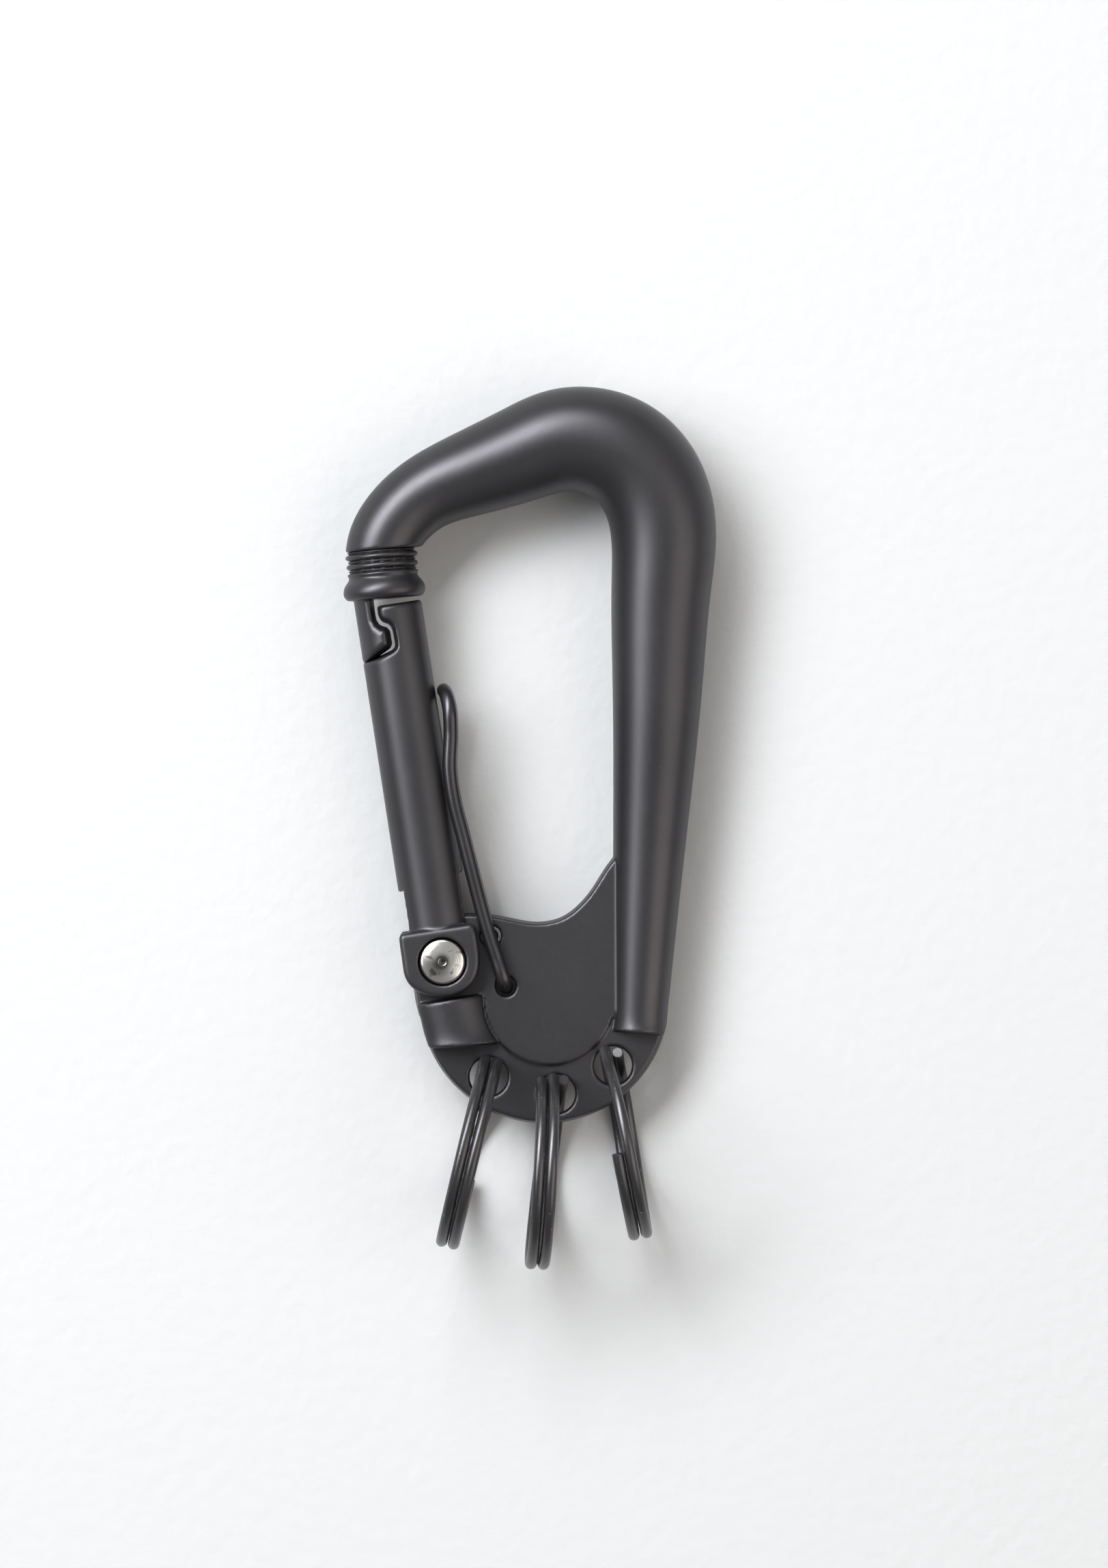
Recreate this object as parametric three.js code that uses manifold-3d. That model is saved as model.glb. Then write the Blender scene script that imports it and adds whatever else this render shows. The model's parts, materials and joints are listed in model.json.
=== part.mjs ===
// Key organiser: a die-cast carabiner with a wire-sprung gate and three split rings.
//
// Millimetres, +Z up. The object lies on a flat surface at z = 0, with its length along +Y, its
// top bend at +Y and its gate on the -X side. The carabiner rests on its thick bend, with its
// lip held a little off the surface by the rings, which stand on edge.
//
// Castings are drawn in the plane of the carabiner: x and y as above, z = 0 halfway through its
// thickness. The group "carabiner" then lays that plane at its resting tilt.

import * as THREE from "three";
import { mergeVertices } from "three/addons/utils/BufferGeometryUtils.js";
import Module from "manifold-3d";

// ---- Driving dimensions ------------------------------------------------------------------

const REST = { height: 7.7, supportY: 50.9, tilt: THREE.MathUtils.degToRad(0.7) };
const GAP = 0.3; // kept between touching pieces

// Round bar of the frame: centreline x, centreline y, radius, from the ribs to the spine's end.
const BAR = [
  [-21.25, 37.4, 4.95],
  [-20.75, 39.9, 5.05],
  [-18.6, 43.6, 5.15],
  [-14.8, 46.9, 5.35],
  [-8.5, 49.7, 6.05],
  [-0.7, 52.7, 6.85],
  [4.0, 54.3, 7.25],
  [8.6, 54.3, 7.5],
  [13.0, 52.6, 7.65],
  [16.6, 48.8, 7.65],
  [18.5, 43.2, 7.5],
  [18.4, 34.0, 7.05],
  [17.85, 20.0, 6.35],
  [16.85, 0.0, 5.25],
  [15.95, -16.0, 4.4],
  [15.25, -29.0, 3.75],
];

const LIP = { x: 1.9, y: -24.3, radius: 17.6, half: 1.45, holeRadius: 2.8, holeCircle: 13.5 };
const LIP_HOLES = [-35.6, 7.2, 45.9]; // degrees from -Y towards +X, about the lip's centre
const PANEL = { x: 2.9, y: -24.4, radius: 9.6, half: 2.0, rightX: 12.06, bevel: 0.35 };
const STUB = { top: [-11.5, -23.5], end: [-10.4, -31.0], radius: 4.3, scoop: 6.45 };

const PIN = { x: -12.4, y: -18.9, shank: 1.6, bore: 1.85, headRadius: 3.3, headDepth: 1.5 };
const GATE = { tilt: THREE.MathUtils.degToRad(8.74), radius: 4.725, top: 50.5, chamfer: 0.4 };
const EAR = { half: 5.1, radius: 5.15, left: -5.6, right: 4.9, top: 4.66, counterbore: 3.5 };
const SLOT = { half: 2.35, leftTop: 10.4, rightTop: 12.0 };

const NOSE = {
  hookFoot: 42.6, collarBottom: 51.9, neck: 54.75, ribsEnd: 58.9, root: 60.2,
  collarRadius: 5.75, rimRadius: 5.35, neckRadius: 4.6,
};
const RIBS = { first: 55.15, pitch: 1.24, count: 3, radius: 5.1, groove: 4.75, ridge: 4.9 };

const SPRING = { wire: 1.05, side: 3.3, lowHole: [-3.5, -22.5], highHole: [-5.6, -15.4] };
const SPRING_HOLE = 1.6;

// Split rings: outer radius, wire radius, and each ring's place. heading is the ring's
// direction from its hole, in degrees from -Y towards +X. reach and aside give the ring's
// centre from the hole, along and across that direction. stations are [turn in degrees,
// sideways place], from the end that stands in the hole.
const RING = { outer: 13.8, wire: 0.8 };
const KEY_RINGS = [
  {
    name: "key_ring_left",
    hole: 0, heading: -13.5, reach: 10.55, aside: -0.15, lean: 0.5,
    stations: [[110, 0.85], [425, 0.85], [470, -0.85], [785, -0.85]],
  },
  {
    name: "key_ring_middle",
    hole: 1, heading: -3.1, reach: 10.5, aside: -1.25, lean: -2.2,
    stations: [
      [12, 2.5], [42, 2.3], [180, 0.87], [360, 0.82], [400, 0.6], [540, -0.87], [706, -0.87],
    ],
  },
  {
    name: "key_ring_right",
    hole: 2, heading: 10.9, reach: 10.4, aside: -0.75, lean: 0.4,
    stations: [
      [19, 1.66], [180, 0.92], [267, 0.82], [360, -0.02], [397, -0.12], [540, -0.86], [627, -0.88],
    ],
  },
];

// Where the middle of the object's box stands over z = 0 in the coordinates above.
const BOX_MIDDLE = { x: -0.1, y: 0.07 };

// ---- Finishes ----------------------------------------------------------------------------

const finish = (color, roughness, metalness) => () =>
  new THREE.MeshStandardMaterial({ color, roughness, metalness });
const castMetal = finish(0x48464a, 0.42, 0.7);
const platedWire = finish(0x4a484b, 0.3, 0.85);
const brightNickel = finish(0xc9c6bf, 0.18, 1);

// ---- Solids ------------------------------------------------------------------------------

const wasm = await Module();
wasm.setup();

function solid(geometry) {
  const bare = new THREE.BufferGeometry();
  bare.setAttribute("position", geometry.getAttribute("position"));
  if (geometry.index) bare.setIndex(geometry.index);
  const merged = mergeVertices(bare, 1e-4);
  const mesh = new wasm.Mesh({
    numProp: 3,
    vertProperties: new Float32Array(merged.getAttribute("position").array),
    triVerts: new Uint32Array(merged.index.array),
  });
  return new wasm.Manifold(mesh);
}

function geometryOf(manifold) {
  const { vertProperties, triVerts, numProp } = manifold.getMesh();
  const geometry = new THREE.BufferGeometry();
  const places = new Float32Array((vertProperties.length / numProp) * 3);
  for (let i = 0; i < places.length / 3; i++) {
    for (let k = 0; k < 3; k++) places[3 * i + k] = vertProperties[numProp * i + k];
  }
  geometry.setAttribute("position", new THREE.BufferAttribute(places, 3));
  geometry.setIndex(new THREE.BufferAttribute(new Uint32Array(triVerts), 1));
  geometry.computeVertexNormals();
  return geometry;
}

const joined = (first, ...rest) => rest.reduce((whole, piece) => whole.add(piece), first);
const cut = (body, ...tools) => tools.reduce((rest, tool) => rest.subtract(tool), body);

// An outline in the carabiner's plane, pushed out equally to both sides of z = 0.
function plate(shape, half, { bevel = 0, steps = 16 } = {}) {
  const geometry = new THREE.ExtrudeGeometry(shape, {
    depth: 2 * (half - bevel),
    bevelEnabled: bevel > 0,
    bevelThickness: bevel,
    bevelSize: bevel,
    bevelOffset: -bevel,
    bevelSegments: 1,
    curveSegments: steps,
  });
  geometry.translate(0, 0, bevel - half);
  return geometry;
}

const disc = (x, y, radius, half, sides = 32) =>
  new THREE.CylinderGeometry(radius, radius, 2 * half, sides).rotateX(Math.PI / 2).translate(x, y, 0);

const outline = (points) => new THREE.Shape(points.map(([x, y]) => new THREE.Vector2(x, y)));

// A body of revolution about the gate's axis: profile points are [radius, height above the pin].
function turned(profile, sides) {
  return new THREE.LatheGeometry(profile.map(([r, v]) => new THREE.Vector2(r, v)), sides);
}

// Puts a geometry drawn about the pin, upright, into its place beside the spine.
const onGateAxis = (geometry) => geometry.rotateZ(GATE.tilt).translate(PIN.x, PIN.y, 0);

// ---- Frame casting -----------------------------------------------------------------------

// The bar is a lathe turned straight, then bent along its centreline.
function bar() {
  const places = BAR.map(([x, y, r]) => new THREE.Vector3(x, y, r));
  const centreline = new THREE.CatmullRomCurve3(places, false, "centripetal");
  const stations = 36;
  const profile = [[0, 0]];
  for (let i = 0; i <= stations; i++) profile.push([centreline.getPoint(i / stations).z, i / stations]);
  profile.push([0, 1]);
  const geometry = turned(profile, 20);
  const place = geometry.getAttribute("position");
  for (let i = 0; i < place.count; i++) {
    const along = place.getY(i);
    const centre = centreline.getPoint(along);
    const way = centreline.getTangent(along).setZ(0).normalize();
    const across = place.getX(i);
    place.setXYZ(i, centre.x + way.y * across, centre.y - way.x * across, place.getZ(i));
  }
  return geometry;
}

// Nose, from the hook's tip up through the collar and the ribs into the bar.
function nose() {
  const profile = [[0, NOSE.hookFoot], [GATE.radius, NOSE.hookFoot], [GATE.radius, NOSE.collarBottom]];
  const collar = [[NOSE.rimRadius, 0], [5.62, 0.55], [NOSE.collarRadius, 1.3], [5.6, 2.0], [5.05, 2.5]];
  profile.push(...collar.map(([r, rise]) => [r, NOSE.collarBottom + rise]));
  profile.push([NOSE.neckRadius, NOSE.neck]);
  for (let i = 0; i < RIBS.count; i++) {
    const v = RIBS.first + i * RIBS.pitch;
    profile.push([RIBS.groove, v - 0.2], [RIBS.radius, v + 0.05], [RIBS.radius, v + 0.45]);
    profile.push([RIBS.groove, v + 0.62], [RIBS.ridge, v + 0.75], [RIBS.groove, v + 0.9]);
  }
  profile.push([5.0, NOSE.ribsEnd], [4.6, NOSE.root], [0, NOSE.root]);
  return turned(profile, 20);
}

// The space round the hook that the gate's end swings through.
function noseCut() {
  return plate(outline([
    [-2.8, 60], [-2.8, 49.05], [-2.55, 48.5], [-1.8, 47.65], [-1.0, 47.3], [-0.7, 46.7],
    [-0.7, 45.6], [-1.0, 44.9], [-4.9, 43.15], [-6, 42.6], [-6, 42], [8, 42], [8, 60],
  ]), 8);
}

function lipOutline() {
  const shape = new THREE.Shape();
  shape.moveTo(-16.6, -23);
  shape.absarc(LIP.x, LIP.y, LIP.radius, Math.PI * 1.058, Math.PI * 1.945, false);
  shape.lineTo(14, -24);
  shape.closePath();
  return shape;
}

function panelOutline() {
  const shape = new THREE.Shape();
  shape.moveTo(PANEL.rightX, -3.9);
  const top = [
    [10.1, -6.35], [8.5, -8.9], [6.6, -11.1], [4.6, -12.6],
    [2.4, -13.3], [0.6, -13.42], [-2, -13.05], [-5.4, -12.4],
  ];
  shape.splineThru(top.map(([x, y]) => new THREE.Vector2(x, y)));
  shape.lineTo(-9, -12.2);
  shape.lineTo(-16.9, -13.1);
  shape.quadraticCurveTo(-17.8, -13.2, -17.75, -14.2);
  shape.lineTo(-16.6, -23);
  shape.lineTo(-12, -26);
  shape.lineTo(PANEL.x - PANEL.radius, PANEL.y);
  shape.absarc(PANEL.x, PANEL.y, PANEL.radius, Math.PI, 2 * Math.PI - 0.3, false);
  shape.lineTo(PANEL.rightX + 1.2, -24.9);
  shape.lineTo(PANEL.rightX + 1.2, -3.2);
  shape.closePath();
  return shape;
}

// Stub under the gate's ears: a short round bar, scooped to clear them.
function stub() {
  const [x0, y0] = STUB.top;
  const [x1, y1] = STUB.end;
  const length = Math.hypot(x1 - x0, y1 - y0);
  const geometry = new THREE.CylinderGeometry(STUB.radius, STUB.radius, length, 24);
  geometry.rotateZ(Math.atan2(y0 - y1, x0 - x1) - Math.PI / 2);
  geometry.translate((x0 + x1) / 2, (y0 + y1) / 2, 0);
  return solid(geometry).subtract(solid(disc(PANEL.x, PANEL.y, PANEL.radius + 0.6, 8)));
}

function lipHoleCentre(index) {
  const angle = THREE.MathUtils.degToRad(LIP_HOLES[index]);
  return [LIP.x + LIP.holeCircle * Math.sin(angle), LIP.y - LIP.holeCircle * Math.cos(angle)];
}

function frameCasting() {
  const aboveHook = [[0, NOSE.collarBottom], [9, NOSE.collarBottom], [9, 61], [0, 61]];
  const beside = solid(onGateAxis(noseCut())).subtract(solid(onGateAxis(turned(aboveHook, 24))));
  const hook = solid(onGateAxis(nose())).subtract(beside);
  const whole = joined(
    solid(bar()),
    hook,
    solid(plate(lipOutline(), LIP.half, { steps: 30 })),
    solid(plate(panelOutline(), PANEL.half, { bevel: PANEL.bevel, steps: 10 })),
    stub(),
  );
  const holes = LIP_HOLES.map((_, i) => solid(disc(...lipHoleCentre(i), LIP.holeRadius, 5, 20)));
  return cut(
    whole,
    ...holes,
    solid(disc(...SPRING.lowHole, SPRING_HOLE, 5, 12)),
    solid(disc(...SPRING.highHole, SPRING_HOLE, 5, 12)),
    solid(disc(PIN.x, PIN.y, PIN.bore, 5, 20)),
    earSweep(),
  );
}

// Everything thicker than the lug stays clear of the gate's ears.
function earSweep() {
  const sweep = solid(disc(PIN.x, PIN.y, STUB.scoop, 8, 32));
  const lug = new THREE.BoxGeometry(40, 40, 2 * PANEL.half).translate(PIN.x, PIN.y, 0);
  return sweep.subtract(solid(lug));
}

// ---- Gate --------------------------------------------------------------------------------

function earOutline() {
  const { left, right, top, radius } = EAR;
  const shape = new THREE.Shape();
  shape.moveTo(left + 0.5, top);
  shape.quadraticCurveTo(left, top, left, top - 0.8);
  shape.lineTo(left + 0.1, -1.2);
  shape.absarc(0, 0, radius, Math.PI * 1.1, Math.PI * 1.95, false);
  shape.lineTo(right, top - 1.3);
  shape.quadraticCurveTo(right, top, right - 1.3, top);
  shape.closePath();
  return shape;
}

function gate() {
  const { radius, top, chamfer } = GATE;
  const side = [[radius, 0], [radius, top - chamfer], [radius - chamfer, top]];
  const rod = turned([[0, 0], ...side, [0, top]], 28);
  const hookSpace = plate(outline([
    [-7, 53], [-1.1, 53], [-1.1, 48.8], [-0.24, 48.45], [0.37, 47.85], [0.6, 47.1],
    [0.6, 44.6], [0.1, 43.8], [-1.0, 43.35], [-4.75, 42.55], [-7, 42.1],
  ]), 8);
  const slot = plate(outline([
    [-9, -9], [9, -9], [9, SLOT.rightTop + 0.7], [-9, SLOT.leftTop - 0.7],
  ]), SLOT.half);
  const sink = new THREE.CylinderGeometry(EAR.counterbore, EAR.counterbore, 4, 28).rotateX(Math.PI / 2);
  const front = sink.clone().translate(0, 0, EAR.half - PIN.headDepth - GAP + 2);
  const back = sink.clone().translate(0, 0, -(EAR.half - PIN.headDepth - GAP + 2));
  const whole = solid(rod).add(solid(plate(earOutline(), EAR.half, { bevel: 0.3, steps: 10 })));
  const bore = disc(0, 0, PIN.bore, 8, 20);
  return cut(whole, solid(hookSpace), solid(slot), solid(bore), solid(front), solid(back));
}

// ---- Hinge rivet -------------------------------------------------------------------------

function hingeRivet() {
  const face = EAR.half - 0.25;
  const under = face - PIN.headDepth + 0.25;
  return turned([
    [0, -face + 0.1], [1.9, -face + 0.2], [2.9, -face + 0.65], [2.95, -under], [PIN.shank, -under],
    [PIN.shank, under], [PIN.headRadius, under], [PIN.headRadius, face - 0.35], [2.9, face - 0.1],
    [0.7, face + 0.1], [0.35, face - 0.15], [0, face - 0.2],
  ], 28).rotateX(Math.PI / 2);
}

// ---- Gate spring -------------------------------------------------------------------------

// One wire: in at the lower hole's front, up the front, over the loop at the gate, and down
// the back to the upper hole.
function gateSpring() {
  const { side, wire, lowHole, highHole } = SPRING;
  const front = [
    [-4.85, -18.3], [-5.85, -15.3], [-7.4, -9.7], [-9.35, -2],
    [-10.8, 4], [-11.3, 8.3], [-11.1, 13], [-11.25, 16.4],
  ];
  const points = [
    [...lowHole, -0.9], [lowHole[0], lowHole[1], 1.6], [lowHole[0] - 0.3, lowHole[1] + 0.9, side - 0.1],
    ...front.map(([x, y]) => [x, y, side]),
    [-11.7, 18.4, side - 1.1],
    [-12.1, 19.1, 0],
    [-11.7, 18.4, 1.1 - side],
    ...front.slice(2).reverse().map(([x, y]) => [x, y, -side]),
    [highHole[0] - 0.55, highHole[1] + 1.1, 0.1 - side], [...highHole, -1.6], [...highHole, 0.6],
  ];
  const places = points.map((p) => new THREE.Vector3(...p));
  const route = new THREE.CatmullRomCurve3(places, false, "centripetal");
  return tube(route, wire, 8, 80);
}

function tube(route, radius, sides, steps) {
  const section = new THREE.Shape();
  for (let i = 0; i < sides; i++) {
    const angle = ((i + 0.5) / sides) * 2 * Math.PI;
    const point = [radius * Math.cos(angle), radius * Math.sin(angle)];
    if (i === 0) section.moveTo(...point);
    else section.lineTo(...point);
  }
  section.closePath();
  return new THREE.ExtrudeGeometry(section, { steps, extrudePath: route, curveSegments: 1 });
}

// ---- Split rings -------------------------------------------------------------------------

// The wire's path, in the ring's own frame: x outwards from the hole, y across the coils, z up.
class CoilRoute extends THREE.Curve {
  constructor(stations) {
    super();
    this.stations = stations;
  }

  getPoint(t, target = new THREE.Vector3()) {
    const { stations } = this;
    const turn = THREE.MathUtils.lerp(stations[0][0], stations.at(-1)[0], t);
    let i = 0;
    while (i < stations.length - 2 && turn > stations[i + 1][0]) i++;
    const [from, sideFrom] = stations[i];
    const [to, sideTo] = stations[i + 1];
    const side = THREE.MathUtils.lerp(sideFrom, sideTo, THREE.MathUtils.smoothstep(turn, from, to));
    const angle = THREE.MathUtils.degToRad(turn);
    const mean = RING.outer - RING.wire;
    return target.set(-mean * Math.cos(angle), side, -mean * Math.sin(angle));
  }
}

// ---- Assembly ----------------------------------------------------------------------------

function mesh(name, geometry, material) {
  const made = new THREE.Mesh(geometry, material);
  made.name = name;
  return made;
}

const carabiner = new THREE.Group();
carabiner.name = "carabiner";
carabiner.add(mesh("frame_casting", geometryOf(frameCasting()), castMetal()));

const gateGroup = new THREE.Group();
gateGroup.position.set(PIN.x, PIN.y, 0);
gateGroup.rotation.z = GATE.tilt;
gateGroup.add(mesh("gate", geometryOf(gate()), castMetal()));
gateGroup.add(mesh("hinge_rivet", hingeRivet(), brightNickel()));
carabiner.add(gateGroup);
carabiner.add(mesh("gate_spring", gateSpring(), platedWire()));

carabiner.rotation.x = REST.tilt;
carabiner.position.set(
  0,
  REST.supportY * (1 - Math.cos(REST.tilt)),
  REST.height - REST.supportY * Math.sin(REST.tilt),
);
carabiner.updateMatrixWorld();

const organiser = new THREE.Group();
organiser.add(carabiner);

for (const { name, hole, heading, reach, aside, lean, stations } of KEY_RINGS) {
  const holeCentre = carabiner.localToWorld(new THREE.Vector3(...lipHoleCentre(hole), 0));
  const ring = mesh(name, tube(new CoilRoute(stations), RING.wire, 8, 84), platedWire());
  ring.rotation.order = "ZXY";
  ring.rotation.z = THREE.MathUtils.degToRad(heading - 90);
  ring.rotation.x = THREE.MathUtils.degToRad(lean);
  const out = new THREE.Vector3(1, 0, 0).applyEuler(ring.rotation);
  const across = new THREE.Vector3(-out.y, out.x, 0);
  ring.position.copy(holeCentre).addScaledVector(out, reach).addScaledVector(across, aside);
  ring.position.z = RING.outer;
  organiser.add(ring);
}

organiser.position.set(-BOX_MIDDLE.x, -BOX_MIDDLE.y, 0);

export default organiser;
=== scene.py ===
import json
import math

import bpy
import numpy as np
from mathutils import Matrix, Vector


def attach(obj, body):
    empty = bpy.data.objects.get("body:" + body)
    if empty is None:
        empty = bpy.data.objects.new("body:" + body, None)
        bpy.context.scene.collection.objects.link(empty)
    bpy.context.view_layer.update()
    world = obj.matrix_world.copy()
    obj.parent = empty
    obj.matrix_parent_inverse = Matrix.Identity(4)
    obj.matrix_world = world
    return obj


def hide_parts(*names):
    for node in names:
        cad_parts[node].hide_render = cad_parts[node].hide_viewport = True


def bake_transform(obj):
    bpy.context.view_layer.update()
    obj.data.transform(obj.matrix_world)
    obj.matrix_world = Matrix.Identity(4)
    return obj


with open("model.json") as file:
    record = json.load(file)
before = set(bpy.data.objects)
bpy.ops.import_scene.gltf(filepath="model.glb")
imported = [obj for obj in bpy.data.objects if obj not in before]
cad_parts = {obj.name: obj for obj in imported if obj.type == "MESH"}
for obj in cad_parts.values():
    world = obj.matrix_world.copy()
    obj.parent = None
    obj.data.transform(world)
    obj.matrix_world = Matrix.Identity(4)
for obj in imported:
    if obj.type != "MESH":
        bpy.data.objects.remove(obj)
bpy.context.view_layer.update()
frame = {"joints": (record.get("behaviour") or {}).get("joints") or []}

# ---- Frame casting -------------------------------------------------------------------------------
# One zinc die casting: a round bar that runs from the nose over the bend and tapers down the spine,
# with a thin panel and a thinner lip across its foot and a stub under the gate's ears. It comes out
# of the die with soft corners, is tumbled, and is plated satin gunmetal.

MM = 0.001
gate_hinge = next(j for j in frame["joints"] if j["name"] == "gate_hinge")
PIN = (-12.4, -18.9)  # the hinge pin on the casting's own drawing, where z = 0 is its mid-plane
up = -Vector(gate_hinge["axis"]).normalized()
LAID = (
    Matrix.Translation(Vector(gate_hinge["pos_m"]))
    @ Matrix.Rotation(math.atan2(-up.y, up.z), 4, "X")
    @ Matrix.Translation(-Vector((*PIN, 0)) * MM)
)

BAR = [  # centreline x, y and radius, from the ribs to the foot of the spine
    (-21.25, 37.4, 4.95),
    (-20.75, 39.9, 5.05),
    (-18.6, 43.6, 5.15),
    (-14.8, 46.9, 5.35),
    (-8.5, 49.7, 6.05),
    (-0.7, 52.7, 6.85),
    (4.0, 54.3, 7.25),
    (8.6, 54.3, 7.5),
    (13.0, 52.6, 7.65),
    (16.6, 48.8, 7.65),
    (18.5, 43.2, 7.5),
    (18.4, 34.0, 7.05),
    (17.85, 20.0, 6.35),
    (16.85, 0.0, 5.25),
    (15.95, -16.0, 4.4),
    (15.25, -29.0, 3.75),
]
LIP_CENTRE, LIP_RADIUS, LIP_HALF = (1.9, -24.3), 17.6, 1.6
RING_HOLES = [-35.6, 7.2, 45.9]  # degrees round the lip, from straight down
RING_HOLE_CIRCLE, RING_HOLE_RADIUS, HOLE_DRAFT = 13.5, 2.8, 0.15
PANEL_CENTRE, PANEL_RADIUS, PANEL_HALF, PANEL_RIGHT = (2.6, -24.4), 9.5, 2.0, 12.06
WALL_DRAFT = 0.4  # how far the panel's and lip's walls lean in at the two faces
PANEL_TOP = [
    (13.3, -2.2), (11.9, -3.9), (10.1, -6.35), (8.5, -8.9), (6.6, -11.1), (4.6, -12.6),
    (2.4, -13.3), (0.6, -13.42), (-2.0, -13.05), (-5.4, -12.4), (-9.0, -12.2), (-16.6, -13.1),
]
SPRING_HOLES, SPRING_HOLE_RADIUS = [(-3.5, -22.5), (-5.6, -15.4)], 1.42
STUB = ((-11.8, -23.5), (-9.5, -31.2))
STUB_RADIUS, STUB_SQUEEZE = 4.5, 0.84  # the stub is wider than it is tall
STUB_TOP = -5.5  # up the gate's axis: the stub is cut square to the gate, just below the ears
STUB_ROOT = -1.5  # along the stub's own axis: nothing of it lies further back than this
STUB_END, STUB_END_RISE = (-14, -31.2), 0.079  # its lower end is a line that rises to the right
FLARE, FLARE_REACH = 0.4, 0.9  # both round ends sweep up to a crisp rim before they drop to the lip
GATE_TILT = math.radians(8.74)
NOSE_TURN = math.radians(3.9)  # the ribs and collar stand more upright than the gate
NOSE_PIVOT = (-0.2, 53)  # across and up the gate's axis, where the two axes meet
NOSE_TOP, NOSE_SIDE = 58.5, -13  # the bar stops below this height, to the left of this x
PIN_BORE = 1.85


def through(points, spacing):
    """A smooth line through the points, cut into even steps."""
    p = np.array(points, float)
    t = np.concatenate([[0], np.cumsum(np.linalg.norm(np.diff(p, axis=0), axis=1))])
    h = np.diff(t)
    left, right = np.eye(len(p)), np.zeros_like(p)
    for i in range(1, len(p) - 1):
        left[i, i - 1 : i + 2] = h[i - 1], 2 * (h[i - 1] + h[i]), h[i]
        right[i] = 6 * ((p[i + 1] - p[i]) / h[i] - (p[i] - p[i - 1]) / h[i - 1])
    bend = np.linalg.solve(left, right)
    u = np.linspace(0, t[-1], 4000)
    i = np.clip(np.searchsorted(t, u, side="right") - 1, 0, len(h) - 1)
    a, b, step = (t[i + 1] - u)[:, None], (u - t[i])[:, None], h[i][:, None]
    line = (bend[i] * a**3 + bend[i + 1] * b**3) / (6 * step)
    line += (p[i] / step - bend[i] * step / 6) * a + (p[i + 1] / step - bend[i + 1] * step / 6) * b
    run = np.concatenate([[0], np.cumsum(np.linalg.norm(np.diff(line, axis=0), axis=1))])
    even = np.linspace(0, run[-1], max(2, round(run[-1] / spacing)))
    return np.stack([np.interp(even, run, c) for c in line.T], axis=1)


def round_bar(x, y, z, line):
    """How far a point lies outside a round bar whose centreline rows are x, y, radius."""
    x, y = np.broadcast_arrays(x, y)
    shape, x, y = x.shape, x.ravel(), y.ravel()
    way = np.gradient(line[:, :2], axis=0)
    pace = np.linalg.norm(way, axis=1)
    way /= pace[:, None]
    turn = np.gradient(np.unwrap(np.arctan2(way[:, 1], way[:, 0]))) / pace
    swell = np.gradient(line[:, 2]) / pace
    near = np.empty(x.size, int)
    for s in range(0, x.size, 20000):
        part = slice(s, s + 20000)
        gap = (x[part, None] - line[:, 0]) ** 2 + (y[part, None] - line[:, 1]) ** 2
        near[part] = gap.argmin(1)
    dx, dy = x - line[near, 0], y - line[near, 1]
    along = dx * way[near, 0] + dy * way[near, 1]
    aside = dy * way[near, 0] - dx * way[near, 1]
    along = along / np.clip(1 - turn[near] * aside, 0.3, None)
    ended = (near == 0) | (near == len(line) - 1)
    along = np.where(ended, 0, along)
    radius = (line[near, 2] + swell[near] * along).reshape(shape)
    flat = np.where(ended, dx**2 + dy**2, aside**2).reshape(shape)
    return np.sqrt(flat + z**2) - radius


def outline(x, y, corners):
    """How far a point lies outside a closed outline; inside it, less than nothing."""
    corners = np.array(corners, float)
    nearest, inside = np.inf, False
    for (ax, ay), (bx, by) in zip(corners, np.roll(corners, -1, axis=0), strict=True):
        ex, ey = bx - ax, by - ay
        t = np.clip(((x - ax) * ex + (y - ay) * ey) / (ex * ex + ey * ey), 0, 1)
        nearest = np.minimum(nearest, (x - ax - t * ex) ** 2 + (y - ay - t * ey) ** 2)
        if ay != by:
            crosses = ((ay > y) != (by > y)) & (x < ax + (y - ay) / (by - ay) * ex)
            inside = inside ^ crosses
    return np.where(inside, -1, 1) * np.sqrt(nearest)


def plate(flat, z, half, corner):
    """An outline's distance pushed out to both sides of z = 0, with its edges rounded."""
    a, b = flat + corner, np.abs(z) - half + corner
    return np.minimum(np.maximum(a, b), 0) + np.hypot(np.maximum(a, 0), np.maximum(b, 0)) - corner


def melt(a, b, fillet):
    """Two bodies run into one, with a fillet between them."""
    h = np.maximum(fillet - np.abs(a - b), 0) / fillet
    return np.minimum(a, b) - h * h * fillet / 4


def carve(body, tool, edge):
    """A body with a tool's shape cut out of it, its new edges softened."""
    return -melt(-body, tool, edge)


def hole(x, y, centre, radius):
    return np.hypot(x - centre[0], y - centre[1]) - radius


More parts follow.
